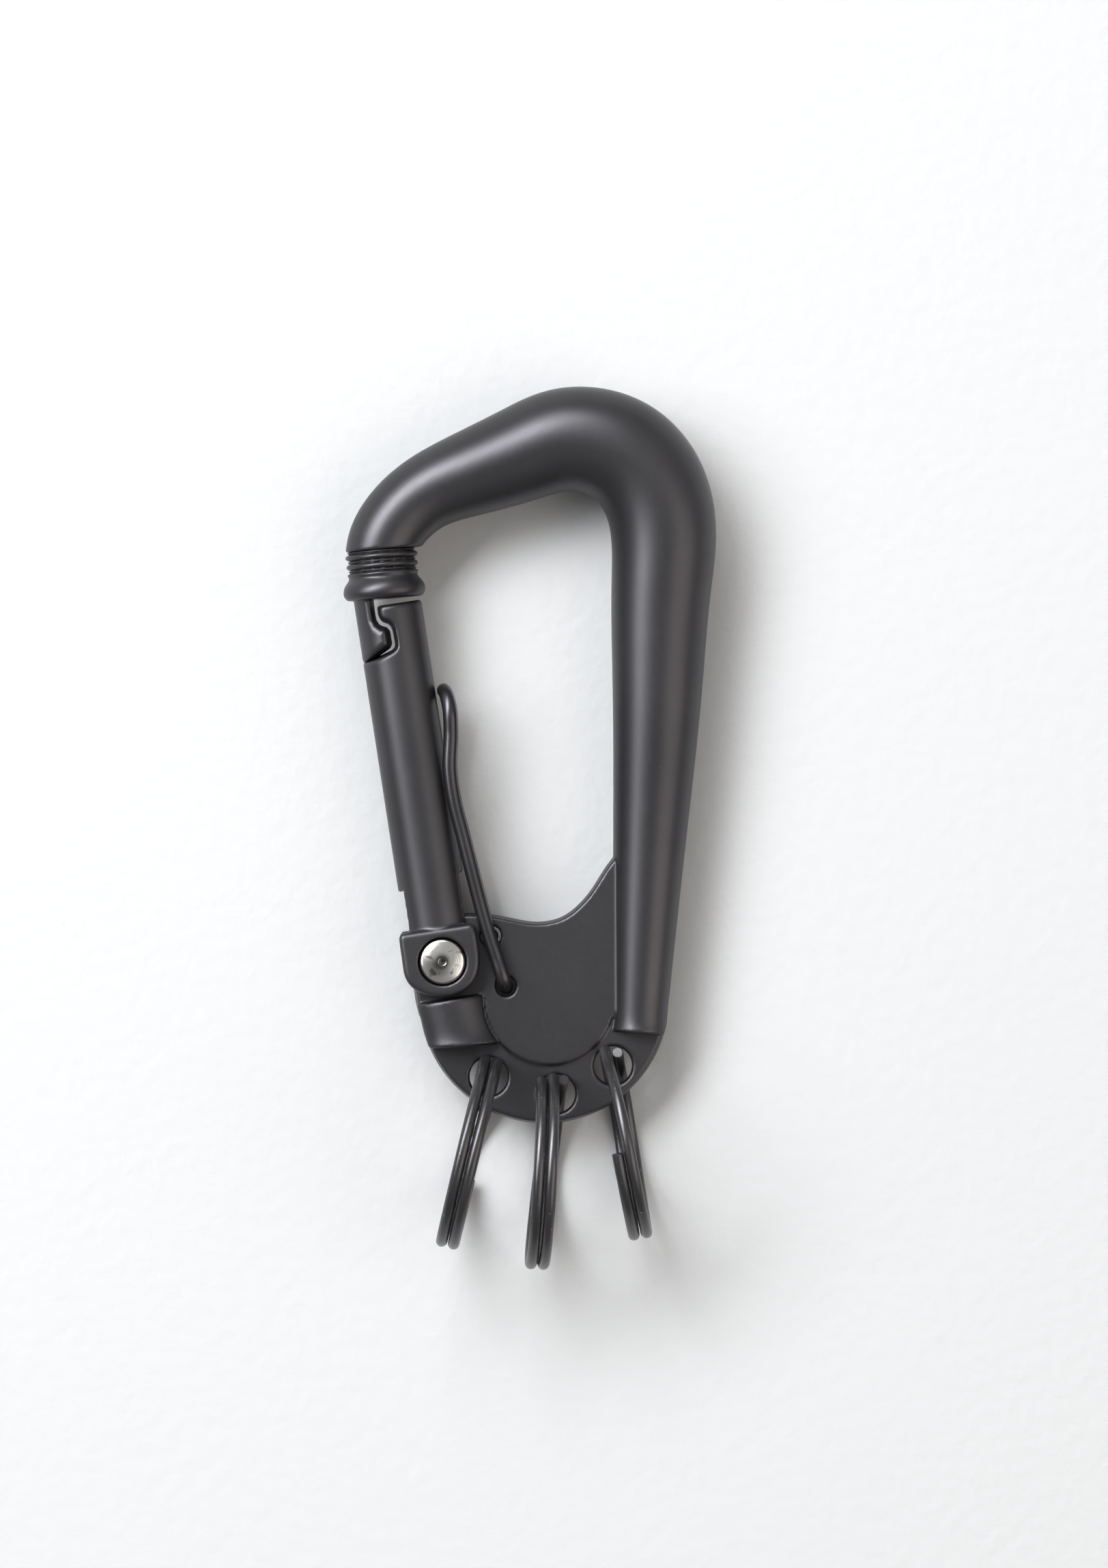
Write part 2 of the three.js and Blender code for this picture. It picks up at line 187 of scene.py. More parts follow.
def skin(name, depth, low, high, step):
    """The smooth surface where depth(x, y, z) is nothing, as a mesh of small squares."""
    ax = [np.arange(a, b + step, step) for a, b in zip(low, high, strict=True)]
    f = depth(ax[0][:, None, None], ax[1][None, :, None], ax[2][None, None, :])
    n = np.array(f.shape) - 1
    corners = [(i, j, k) for i in (0, 1) for j in (0, 1) for k in (0, 1)]

    def at(c):
        return f[c[0] : c[0] + n[0], c[1] : c[1] + n[1], c[2] : c[2] + n[2]]

    inside = sum((at(c) < 0).astype(np.int8) for c in corners)
    cells = np.argwhere((inside > 0) & (inside < 8))
    number = np.full(n, -1)
    number[tuple(cells.T)] = np.arange(len(cells))
    total, hits = np.zeros((len(cells), 3)), np.zeros(len(cells))
    for c in corners:
        for axis in range(3):
            if c[axis] == 0:
                d = np.array(c)
                d[axis] = 1
                fa, fb = at(c)[tuple(cells.T)], at(d)[tuple(cells.T)]
                cut = (fa < 0) != (fb < 0)
                point = np.tile(np.array(c, float), (len(cells), 1))
                point[:, axis] = np.where(cut, fa / np.where(cut, fa - fb, 1), 0)
                total[cut] += point[cut]
                hits += cut
    place = np.array(low) + (cells + total / hits[:, None]) * step

    faces = []
    for axis in range(3):
        b, c = (axis + 1) % 3, (axis + 2) % 3
        first = [slice(None)] * 3
        second = [slice(None)] * 3
        first[axis], second[axis] = slice(0, -1), slice(1, None)
        start, end = f[tuple(first)] < 0, f[tuple(second)] < 0
        edges = np.argwhere(start != end)
        edges = edges[(edges[:, b] > 0) & (edges[:, c] > 0) & (edges[:, b] < n[b]) & (edges[:, c] < n[c])]
        ring = []
        for db, dc in ((1, 1), (0, 1), (0, 0), (1, 0)):
            cell = edges.copy()
            cell[:, b] -= db
            cell[:, c] -= dc
            ring.append(number[tuple(cell.T)])
        quad = np.stack(ring, axis=1)
        out = start[tuple(edges.T)]
        faces.append(np.where(out[:, None], quad, quad[:, ::-1]))
    faces = np.concatenate(faces)

    slope = np.gradient(f, step)
    for _ in range(2):
        g = (place - np.array(low)) / step
        i = np.clip(g.astype(int), 0, n - 1)
        w = g - i
        lean = np.zeros_like(place)
        for c in corners:
            share = np.prod(np.where(np.array(c), w, 1 - w), axis=1)
            spot = tuple((i + np.array(c)).T)
            lean += share[:, None] * np.stack([s[spot] for s in slope], axis=1)
        off = depth(*place.T)
        move = off / np.maximum((lean**2).sum(1), 0.25)
        place -= np.clip(move, -step / 2, step / 2)[:, None] * lean
    return made(name, place, faces)


def made(name, place, faces, sharp=False):
    """A smooth-shaded object from places on the drawing, in millimetres, laid as the casting lies."""
    turn, shift = np.array(LAID.to_3x3()), np.array(LAID.translation)
    return placed(name, place * MM @ turn.T + shift, faces, sharp)


def placed(name, place, faces, sharp):
    """A smooth-shaded object from places in metres, with its cut edges kept crisp if sharp."""
    mesh = bpy.data.meshes.new(name)
    mesh.from_pydata(place.tolist(), [], [list(q) for q in faces])
    mesh.polygons.foreach_set("use_smooth", [True] * len(mesh.polygons))
    if sharp:
        mesh.set_sharp_from_angle(angle=math.radians(28))
    mesh.update()
    obj = bpy.data.objects.new(name, mesh)
    bpy.context.scene.collection.objects.link(obj)
    return obj


def on_gate_axis(x, y):
    """Places as (right of the gate's axis, up along it from the pin)."""
    dx, dy = x - PIN[0], y - PIN[1]
    c, s = math.cos(GATE_TILT), math.sin(GATE_TILT)
    return dx * c + dy * s, dy * c - dx * s


def on_nose_axis(x, y):
    """Places as (right of the nose's axis, up along it), with the pin's heights kept."""
    u, v = on_gate_axis(x, y)
    c, s = math.cos(NOSE_TURN), math.sin(NOSE_TURN)
    across, height = u - NOSE_PIVOT[0], v - NOSE_PIVOT[1]
    return across * c - height * s, across * s + height * c + NOSE_PIVOT[1]


def arc(centre, radius, start, end, count):
    """Points round part of a circle, angles in degrees from +X."""
    a = np.radians(np.linspace(start, end, count))
    return list(zip(centre[0] + radius * np.cos(a), centre[1] + radius * np.sin(a), strict=True))


bar_line = through(BAR, 0.25)
foot, foot_way = bar_line[-1, :2], bar_line[-1, :2] - bar_line[-5, :2]
foot_way /= np.linalg.norm(foot_way)
lip_edge = (
    [(-16.45, -22.0), (-16.15, -24.8)]
    + arc(LIP_CENTRE, LIP_RADIUS, 190.5, 350.0, 90)
    + [(14.0, -24.0)]
)
panel_top = [tuple(p) for p in through(PANEL_TOP, 0.5)]
panel_edge = (
    panel_top
    + [(-17.0, -13.5), (-17.2, -14.4), (-16.45, -23.0), (-16.15, -24.8), (-15.7, -26.6), (-12.0, -26.6)]
    + arc(PANEL_CENTRE, PANEL_RADIUS, 180, 343, 60)
    + [(13.3, -25.5)]
)
ring_holes = [
    (
        LIP_CENTRE[0] + RING_HOLE_CIRCLE * math.sin(math.radians(a)),
        LIP_CENTRE[1] - RING_HOLE_CIRCLE * math.cos(math.radians(a)),
    )
    for a in RING_HOLES
]


def frame_body(x, y, z):
    bar = round_bar(x, y, z, bar_line)
    past_foot = (x - foot[0]) * foot_way[0] + (y - foot[1]) * foot_way[1]
    bar = bar - FLARE * np.exp(np.clip(past_foot, -20, 0) / FLARE_REACH)
    bar = carve(bar, -past_foot, 0.5)
    bar = carve(bar, np.maximum(-hole(x, y, LIP_CENTRE, LIP_RADIUS), y - LIP_CENTRE[1]), 0.15)
    bar = carve(bar, np.maximum(on_nose_axis(x, y)[1] - NOSE_TOP, x - NOSE_SIDE), 0.3)
    lip_flat = outline(x, y, lip_edge)
    lip = plate(lip_flat + WALL_DRAFT * np.abs(z) / LIP_HALF, z, LIP_HALF, 0.25)
    panel = plate(outline(x, y, panel_edge) + WALL_DRAFT * np.abs(z) / PANEL_HALF, z, PANEL_HALF, 0.2)
    panel = carve(panel, PANEL_RIGHT - x, 0.2)
    (x0, y0), (x1, y1) = STUB
    length = math.hypot(x1 - x0, y1 - y0)
    along = ((x - x0) * (x1 - x0) + (y - y0) * (y1 - y0)) / length
    aside = ((x - x0) * (y1 - y0) - (y - y0) * (x1 - x0)) / length
    stub = np.sqrt((STUB_SQUEEZE * aside) ** 2 + z**2) - STUB_RADIUS
    past_end = STUB_END[1] + STUB_END_RISE * (x - STUB_END[0]) - y
    stub = stub - FLARE * np.exp(np.clip(past_end, -20, 0) / FLARE_REACH)
    stub = carve(stub, -past_end, 0.5)
    stub = carve(stub, -lip_flat, 0.4)
    stub = carve(stub, along - STUB_ROOT, 0.1)
    stub = carve(stub, STUB_TOP - on_gate_axis(x, y)[1], 0.35)
    stub = carve(stub, hole(x, y, PANEL_CENTRE, PANEL_RADIUS - 0.15), 0.2)
    body = melt(lip, panel, 0.38)
    body = melt(melt(body, stub, 0.15), bar, 0.15)
    draft = HOLE_DRAFT * np.clip(1 - np.abs(z) / LIP_HALF, 0, 1)
    for centre in ring_holes:
        body = carve(body, hole(x, y, centre, RING_HOLE_RADIUS - draft), 0.35)
    for centre in SPRING_HOLES:
        body = carve(body, hole(x, y, centre, SPRING_HOLE_RADIUS), 0.3)
    return carve(body, hole(x, y, PIN, PIN_BORE), 0.1)


def node(tree, kind, **inputs):
    """A shader node, with its sockets set to values or joined to other nodes' outputs."""
    new = tree.nodes.new(kind)
    for key, value in inputs.items():
        socket = new.inputs[key.replace("_", " ")]
        if isinstance(value, bpy.types.NodeSocket):
            tree.links.new(value, socket)
        else:
            socket.default_value = value
    return new


def satin_gunmetal(name, dark, pale, smooth, rough, grain=1.0, worn=0.0):
    """Dark plating: a slow drift of tone, fine grain in the shine, and bright nicks where worn."""
    material = bpy.data.materials.new(name)
    material.use_nodes = True
    tree = material.node_tree
    shader = tree.nodes["Principled BSDF"]
    shader.inputs["Metallic"].default_value = 0.85
    place = tree.nodes.new("ShaderNodeTexCoord").outputs["Object"]
    drift = node(tree, "ShaderNodeTexNoise", Vector=place, Scale=60.0, Detail=3.0)
    fine = node(tree, "ShaderNodeTexNoise", Vector=place, Scale=1400.0, Detail=4.0, Roughness=0.65)
    pores = node(tree, "ShaderNodeTexNoise", Vector=place, Scale=5200.0, Detail=2.0)
    tone = tree.nodes.new("ShaderNodeValToRGB")
    tone.color_ramp.elements[0].position, tone.color_ramp.elements[1].position = 0.3, 0.72
    tone.color_ramp.elements[0].color = (*dark, 1)
    tone.color_ramp.elements[1].color = (*pale, 1)
    tree.links.new(drift.outputs["Fac"], tone.inputs["Fac"])
    nicks = node(tree, "ShaderNodeTexNoise", Vector=place, Scale=1900.0, Detail=2.0, Roughness=0.7)
    bare = node(tree, "ShaderNodeMapRange", Value=nicks.outputs["Fac"])
    bare.inputs["From Min"].default_value, bare.inputs["From Max"].default_value = 0.79 - worn, 0.84 - worn
    colour = tree.nodes.new("ShaderNodeMix")
    colour.data_type = "RGBA"
    tree.links.new(bare.outputs["Result"], colour.inputs["Factor"])
    tree.links.new(tone.outputs["Color"], colour.inputs["A"])
    colour.inputs["B"].default_value = (0.3, 0.29, 0.28, 1)
    tree.links.new(colour.outputs["Result"], shader.inputs["Base Color"])
    shine = node(tree, "ShaderNodeMapRange", Value=fine.outputs["Fac"])
    shine.inputs["To Min"].default_value, shine.inputs["To Max"].default_value = smooth, rough
    tree.links.new(shine.outputs["Result"], shader.inputs["Roughness"])
    low = node(tree, "ShaderNodeBump", Height=fine.outputs["Fac"], Strength=0.12 * grain, Distance=0.00004)
    high = node(tree, "ShaderNodeBump", Height=pores.outputs["Fac"], Strength=0.16 * grain, Distance=0.00001)
    tree.links.new(low.outputs["Normal"], high.inputs["Normal"])
    tree.links.new(high.outputs["Normal"], shader.inputs["Normal"])
    return material


cast_finish = satin_gunmetal("cast_gunmetal", (0.052, 0.05, 0.054), (0.066, 0.063, 0.067), 0.35, 0.44)

frame_casting = skin("frame_body", frame_body, (-27, -43, -8.2), (27, 63, 8.2), 0.3)
frame_casting.data.materials.append(cast_finish)
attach(frame_casting, "frame")
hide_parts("frame_casting")

# ---- Nose of the casting -------------------------------------------------------------------------
# The same casting's end above the gate: two beads with thin ridges between them, a bulging collar,
# and the hook that the gate's notch closes on. Its lines are the finest in the die, so it has a
# finer surface of its own, which runs up inside the bar.

ROD_RADIUS, ROD_DRAFT = 4.725, 0.5
NOSE_ROOT, COLLAR_FOOT = 59.4, 51.62
BEADS = [(58.3, 0.13, 4.8), (57.64, 0.42, 5.1), (56.98, 0.15, 4.8), (56.34, 0.42, 5.05), (55.7, 0.14, 4.8)]
RIB_CORE, NECK_TOP = 4.5, 55.46
COLLAR = [
    (4.3, 51.6), (4.75, 51.6), (5.2, 51.68), (5.5, 51.92), (5.72, 52.3), (5.78, 52.8), (5.64, 53.4),
    (5.32, 53.95), (4.98, 54.4), (4.84, 54.75), (4.92, 55.02), (4.97, 55.2), (4.85, 55.38), (4.5, NECK_TOP),
]
HOOK = [
    (-2.4, 53.0), (-2.46, 49.8), (-2.43, 48.77), (-2.06, 47.9), (-1.49, 47.42), (-1.0, 47.22),
    (-0.77, 46.85), (-0.75, 45.34), (-0.93, 44.98), (-1.41, 44.71), (-4.52, 43.21),
    (-7.0, 42.1), (-7.0, 53.0),
]
collar_line = through(COLLAR, 0.05)


def nose_radius(height):
    """The turned outline of the nose: collar, neck, beads and thin ridges, with grooves between."""
    low = collar_line[:, 1].argmin()
    radius = np.interp(height, collar_line[low:, 1], collar_line[low:, 0], left=0)
    radius = np.where(height > NECK_TOP, RIB_CORE, radius)
    for middle, half, crown in BEADS:
        t = np.clip((height - middle) / half, -1, 1)
        radius = np.maximum(radius, RIB_CORE + (crown - RIB_CORE) * np.sqrt(1 - t * t))
    return radius


heights = np.arange(51.0, 60.0, 0.02)
radii = nose_radius(heights)
steepness = np.sqrt(1 + np.gradient(radii, heights).clip(-4, 4) ** 2)


def frame_nose(x, y, z):
    r, w = on_nose_axis(x, y)
    out = np.sqrt(r**2 + z**2) - np.interp(w, heights, radii)
    ribbed = np.maximum(out / np.interp(w, heights, steepness), w - NOSE_ROOT)
    ribbed = np.maximum(ribbed, COLLAR_FOOT - w)
    u, v = on_gate_axis(x, y)
    draft = ROD_DRAFT * (1 - np.clip(np.abs(z) / ROD_RADIUS, 0, 1))
    rod = np.maximum(np.sqrt(u**2 + z**2) - ROD_RADIUS, v - NOSE_PIVOT[1])
    hook = carve(rod, draft - outline(u, v, HOOK), 1.1)
    return melt(ribbed, hook, 0.3)


frame_nose_obj = skin("frame_nose", frame_nose, (-27, 22.5, -6.0), (-11.5, 41.2, 6.0), 0.13)
frame_nose_obj.data.materials.append(cast_finish)
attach(frame_nose_obj, "frame")
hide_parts("frame_casting")

# ---- Gate ----------------------------------------------------------------------------------------
# A second casting in the same finish: a round rod, notched at the top so that it locks on the
# nose's hook, and slotted at the foot, where it swells into two squared ears that straddle the
# frame's lug. The front and back of the ears are counterbored for the rivet's heads.

GATE_TOP = 50.5
NOTCH = [
    (-7.0, 54.0), (-1.1, 54.0), (-1.1, 49.5), (-1.02, 49.11), (-0.79, 48.77), (-0.12, 48.41), (0.36, 47.85),
    (0.57, 47.08), (0.62, 45.29), (0.56, 44.65), (0.29, 44.21), (-0.27, 43.85),
    (-2.46, 43.17), (-7.0, 42.1),
]
EAR_HALF, EAR_CORNER = 5.1, 0.75
EAR_ROUND = [
    (5.36, 3.2), (5.36, 1.2), (5.1, -1.2), (4.3, -3.05), (2.9, -4.3), (0.8, -4.95),
    (-1.5, -4.8), (-3.8, -3.8), (-4.9, -2.75), (-5.5, -1.4), (-5.58, 0.5), (-5.56, 3.0),
]
EARS = [(-5.5, 4.2), (-5.15, 4.72), (4.7, 4.7), (5.15, 4.3)] + [tuple(p) for p in through(EAR_ROUND, 0.5)]
SLOT_HALF, SLOT_TOP = 2.35, [(-9, -9), (9, -9), (9, 12.7), (-9, 9.7)]
COUNTERBORE, COUNTERBORE_FLOOR = 3.42, 3.3


def gate_body(x, y, z):
    u, v = on_gate_axis(x, y)
    rod = np.sqrt(u**2 + z**2) - ROD_RADIUS
    draft = ROD_DRAFT * (1 - np.clip(np.abs(z) / ROD_RADIUS, 0, 1))
    rod = carve(rod, GATE_TOP + 0.5 * draft - v, 0.6)
    rod = carve(rod, v, 0.3)
    rod = carve(rod, outline(u, v, NOTCH) + draft, 0.45)
    body = melt(rod, plate(outline(u, v, EARS), z, EAR_HALF, EAR_CORNER), 0.3)
    slot = np.maximum(outline(u, v, SLOT_TOP), np.abs(z) - SLOT_HALF)
    body = carve(body, slot, 0.4)
    sink = np.maximum(np.hypot(u, v) - COUNTERBORE, COUNTERBORE_FLOOR - np.abs(z))
    body = carve(body, sink, 0.22)
    return carve(body, np.hypot(u, v) - PIN_BORE, 0.1)


gate = skin("gate_casting", gate_body, (-25, -25, -5.8), (-6, 33, 5.8), 0.22)
gate.data.materials.append(cast_finish)
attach(gate, "gate")
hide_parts("gate")

# ---- Hinge rivet ---------------------------------------------------------------------------------
# A turned steel rivet, bright nickel plated. Its low-crowned head still shows the lathe tool's rings and
# the dimple of the centre, its shank runs through both ears, and its tail is domed over at the back.

HEAD_RADIUS, SHANK_RADIUS, HEAD_TOP, HEAD_UNDER = 3.28, 1.6, 5.08, 3.6
TOOL_MARK, MARK_DEPTH, CROWN = 0.16, 0.0015, 0.045
face_radii = np.arange(0.84, 2.8, TOOL_MARK / 8)
face = [
    (r, HEAD_TOP - CROWN * r**2 + MARK_DEPTH * math.cos(2 * math.pi * r / TOOL_MARK))
    for r in face_radii
]
RIVET = (
    [(0, HEAD_TOP - 0.34), (0.18, HEAD_TOP - 0.33), (0.24, HEAD_TOP - 0.26), (0.4, HEAD_TOP - 0.24)]
    + [(0.46, HEAD_TOP - 0.17), (0.6, HEAD_TOP - 0.13), (0.68, HEAD_TOP - 0.03), (0.76, HEAD_TOP - 0.03)]
    + face
    + [(3.0, HEAD_TOP - 0.44), (3.14, HEAD_TOP - 0.54)]
    + [(3.23, HEAD_TOP - 0.66), (HEAD_RADIUS, HEAD_TOP - 0.85)]
    + [(HEAD_RADIUS, HEAD_UNDER), (SHANK_RADIUS, HEAD_UNDER), (SHANK_RADIUS, -HEAD_UNDER)]
    + [(2.95, -HEAD_UNDER), (2.95, -4.3), (2.6, -4.65), (1.8, -4.85), (0.9, -4.93), (0, -4.95)]
)


def turned(name, profile, sides):
    """A lathe-turned piece on the pin, from radius and height pairs that start and end on its axis."""
    place, faces = [], []
    rows = []
    for radius, height in profile:
        if radius == 0:
            rows.append([len(place)] * sides)
            place.append((*PIN, height))
            continue
        rows.append(list(range(len(place), len(place) + sides)))
        for i in range(sides):
            a = 2 * math.pi * i / sides
            place.append((PIN[0] + radius * math.cos(a), PIN[1] + radius * math.sin(a), height))
    for upper, lower in zip(rows, rows[1:], strict=False):
        for i in range(sides):
            j = (i + 1) % sides
            quad = list(dict.fromkeys([upper[i], lower[i], lower[j], upper[j]]))
            if len(quad) > 2:
                faces.append(quad)
    return made(name, np.array(place), faces, sharp=True)


def turned_nickel(name):
    """Bright nickel with the tool's rings round the pin, faint smears, small dark nicks, and painted shade
    in the centre's hollow.
    """
    material = bpy.data.materials.new(name)
    material.use_nodes = True
    tree = material.node_tree
    shader = tree.nodes["Principled BSDF"]
    shader.inputs["Metallic"].default_value = 1.0
    place = tree.nodes.new("ShaderNodeTexCoord").outputs["Object"]
    centre = LAID @ (Vector((*PIN, 0)) * MM)
    moved = node(tree, "ShaderNodeMapping", Vector=place, Location=-centre)
    rings = node(tree, "ShaderNodeTexWave", Vector=moved.outputs["Vector"], Scale=2200.0, Distortion=0.4)
    rings.wave_type, rings.rings_direction = "RINGS", "Z"
    smear = node(tree, "ShaderNodeTexNoise", Vector=place, Scale=700.0, Detail=4.0)
    tone = tree.nodes.new("ShaderNodeValToRGB")
    tone.color_ramp.elements[0].position, tone.color_ramp.elements[1].position = 0.32, 0.4
    tone.color_ramp.elements[0].color = (0.22, 0.21, 0.19, 1)
    tone.color_ramp.elements[1].color = (0.6, 0.59, 0.56, 1)
    tree.links.new(smear.outputs["Fac"], tone.inputs["Fac"])
    flat = node(tree, "ShaderNodeVectorMath")
    flat.operation = "MULTIPLY"
    tree.links.new(moved.outputs["Vector"], flat.inputs[0])
    flat.inputs[1].default_value = (1, 1, 0)
    out = node(tree, "ShaderNodeVectorMath")
    out.operation = "LENGTH"
    tree.links.new(flat.outputs["Vector"], out.inputs[0])
    # painted shade: a disc round the pin's centre, over the head's hollow, is mixed towards the dark colour
    # B to stand in for the shade and dark reflection that the hollow holds
    painted_centre_shade = node(tree, "ShaderNodeMapRange", Value=out.outputs["Value"])
    painted_centre_shade.inputs["From Min"].default_value, painted_centre_shade.inputs["From Max"].default_value = 0.00055, 0.0012
    painted_centre_shade.inputs["To Min"].default_value, painted_centre_shade.inputs["To Max"].default_value = 0.85, 0.0
    colour = tree.nodes.new("ShaderNodeMix")
    colour.data_type = "RGBA"
    tree.links.new(painted_centre_shade.outputs["Result"], colour.inputs["Factor"])
    tree.links.new(tone.outputs["Color"], colour.inputs["A"])
    colour.inputs["B"].default_value = (0.13, 0.125, 0.115, 1)
    tree.links.new(colour.outputs["Result"], shader.inputs["Base Color"])
    shine = node(tree, "ShaderNodeMapRange", Value=smear.outputs["Fac"])
    shine.inputs["To Min"].default_value, shine.inputs["To Max"].default_value = 0.26, 0.13
    tree.links.new(shine.outputs["Result"], shader.inputs["Roughness"])
    bump = node(tree, "ShaderNodeBump", Height=rings.outputs["Fac"], Strength=0.2, Distance=0.00001)
    tree.links.new(bump.outputs["Normal"], shader.inputs["Normal"])
    return material


rivet = turned("hinge_rivet_turned", RIVET, 96)
rivet.data.materials.append(turned_nickel("turned_nickel"))
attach(rivet, "gate")
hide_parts("hinge_rivet")

# ---- Gate spring ---------------------------------------------------------------------------------
# One spring-steel wire bent into a hairpin, plated with the casting. The front leg drops into the
# panel's lower hole and the back leg comes up into the upper one; both run up to a kink that bears
# on the gate, and close over it in a loop.

SPRING_RADIUS, SPRING_SIDE = 1.0, 3.2
LEG = [
    (-4.85, -18.3), (-5.85, -15.3), (-7.4, -9.7), (-9.35, -2), (-10.85, 4), (-11.4, 8.3),
    (-11.25, 13), (-11.4, 16.4),
]
low_hole, high_hole = SPRING_HOLES
spring_route = (
    [(*low_hole, -0.9), (*low_hole, 1.4), (low_hole[0] - 0.3, low_hole[1] + 0.95, SPRING_SIDE - 0.2)]
    + [(x, y, SPRING_SIDE) for x, y in LEG]
    + [(-11.85, 18.4, SPRING_SIDE - 1.1), (-12.25, 19.15, 0), (-11.85, 18.4, 1.1 - SPRING_SIDE)]
    + [(x, y, -SPRING_SIDE) for x, y in LEG[:1:-1]]
    + [(high_hole[0] - 0.55, high_hole[1] + 1.15, 0.2 - SPRING_SIDE), (*high_hole, -1.5), (*high_hole, 0.8)]
)


def drawn(points, spacing):
    """A wire's route through its points, with no swing past them, in even steps."""
    p = np.array(points, float)
    p = np.vstack([2 * p[0] - p[1], p, 2 * p[-1] - p[-2]])
    pace = np.sqrt(np.linalg.norm(np.diff(p, axis=0), axis=1))
    line = []
    for i in range(1, len(p) - 2):
        t = np.concatenate([[0], np.cumsum(pace[i - 1 : i + 2])])
        for u in np.linspace(t[1], t[2], 40, endpoint=i == len(p) - 3):
            a = [p[i - 1 + k] + (p[i + k] - p[i - 1 + k]) * (u - t[k]) / (t[k + 1] - t[k]) for k in range(3)]
            b = [a[k] + (a[k + 1] - a[k]) * (u - t[k]) / (t[k + 2] - t[k]) for k in range(2)]
            line.append(b[0] + (b[1] - b[0]) * (u - t[1]) / (t[2] - t[1]))
    line = np.array(line)
    run = np.concatenate([[0], np.cumsum(np.linalg.norm(np.diff(line, axis=0), axis=1))])
    even = np.linspace(0, run[-1], round(run[-1] / spacing))
    return np.stack([np.interp(even, run, c) for c in line.T], axis=1)


def wire(line, radius, sides, chamfer):
    """Round wire along a line, its sawn ends flat with a small chamfer."""
    way = np.gradient(line, axis=0)
    way /= np.linalg.norm(way, axis=1)[:, None]
    side = np.cross(way[0], (0.3, 0.5, 0.8))
    size = np.full(len(line), radius)
    size[0] = size[-1] = radius - chamfer
    line[1] = line[0] + way[0] * chamfer
    line[-2] = line[-1] - way[-1] * chamfer
    angle = np.linspace(0, 2 * math.pi, sides, endpoint=False)[:, None]
    place = []
    for centre, along, r in zip(line, way, size, strict=True):
        side = side - along * (side @ along)
        side /= np.linalg.norm(side)
        place.append(centre + r * (np.cos(angle) * side + np.sin(angle) * np.cross(along, side)))
    place = np.concatenate(place)
    rows = np.arange(len(line) * sides).reshape(-1, sides)
    a, b = rows[:-1], rows[1:]
    quads = np.stack([a, np.roll(a, -1, 1), np.roll(b, -1, 1), b], axis=2).reshape(-1, 4)
    ends = [len(place), len(place) + 1]
    place = np.vstack([place, line[0], line[-1]])
    caps = [(ends[0], rows[0, (i + 1) % sides], rows[0, i]) for i in range(sides)]
    caps += [(ends[1], rows[-1, i], rows[-1, (i + 1) % sides]) for i in range(sides)]
    return place, quads.tolist() + caps


plated_wire = satin_gunmetal(
    "plated_spring_wire", (0.05, 0.048, 0.052), (0.07, 0.067, 0.07), 0.24, 0.34, 0.8
)
spring_place, spring_faces = wire(drawn(spring_route, 0.25), SPRING_RADIUS, 24, 0.15)
gate_spring = made("gate_spring_wire", spring_place, spring_faces, sharp=True)
gate_spring.data.materials.append(plated_wire)
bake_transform(gate_spring)
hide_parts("gate_spring")

# ---- Split rings ---------------------------------------------------------------------------------
# Three key rings, each two turns of round wire with sawn ends, threaded through the lip. They are
# plated before they are wound on, so they are slightly paler than the casting and rubbed to bare metal in
# more nicks.

RING_OUTER, RING_WIRE, WEB_FROM_HOLE = 13.8, 0.8, 3.55
KEY_RINGS = {  # distance out and to the side from the hole, then (turn in degrees, place across)
    "key_ring_left": (10.55, -0.15, [(110, 0.85), (425, 0.85), (470, -0.85), (785, -0.85)]),
    "key_ring_middle": (
        10.55,
        -1.45,
        [(12, 2.5), (42, 2.3), (180, 0.87), (360, 0.82), (400, 0.6), (540, -0.87), (706, -0.87)],
    ),
    "key_ring_right": (
        10.5,
        -0.75,
        [(19, 1.66), (180, 0.92), (267, 0.82), (360, -0.02), (397, -0.12), (540, -0.86), (627, -0.88)],
    ),
}


def coil(stations, step):
    """A split ring's wire: x out from the hole, y across the coils, z up, about the ring's middle."""
    turn = np.arange(stations[0][0], stations[-1][0] + step, step)
    across = np.full(turn.shape, float(stations[0][1]))
    for (a, ya), (b, yb) in zip(stations, stations[1:], strict=False):
        t = np.clip((turn - a) / (b - a), 0, 1)
        across = np.where(turn >= a, ya + (yb - ya) * t * t * (3 - 2 * t), across)
    angle, mean = np.radians(turn), RING_OUTER - RING_WIRE
    return np.stack([-mean * np.cos(angle), across, -mean * np.sin(angle)], axis=1)


ring_finish = satin_gunmetal(
    "plated_ring_wire", (0.055, 0.053, 0.056), (0.085, 0.081, 0.084), 0.25, 0.37, 0.8, 0.09
)
for name, (reach, aside, stations) in KEY_RINGS.items():
    swing = next(j for j in frame["joints"] if j["child"] == name)
    across = Vector(swing["axis"]).normalized()
    out = across.cross(Vector((0, 0, 1))).normalized()
    sideways = Vector((-out.y, out.x, 0))
    centre = Vector(swing["pos_m"]) + (out * (reach - WEB_FROM_HOLE) + sideways * aside) * MM
    centre.z = RING_OUTER * MM
    place, faces = wire(coil(stations, 2.0), RING_WIRE, 20, 0.12)
    turn = np.array([out, across, out.cross(across)])
    ring = placed(name + "_wire", place * MM @ turn + np.array(centre), faces, sharp=True)
    ring.data.materials.append(ring_finish)
    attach(ring, name)
    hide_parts(name)

# ---- Table, light and camera ---------------------------------------------------------------------
# A sheet of white paper board, a long soft window high on the left with a small lamp in front of
# it, a weak warm card on the right, and a camera straight above.

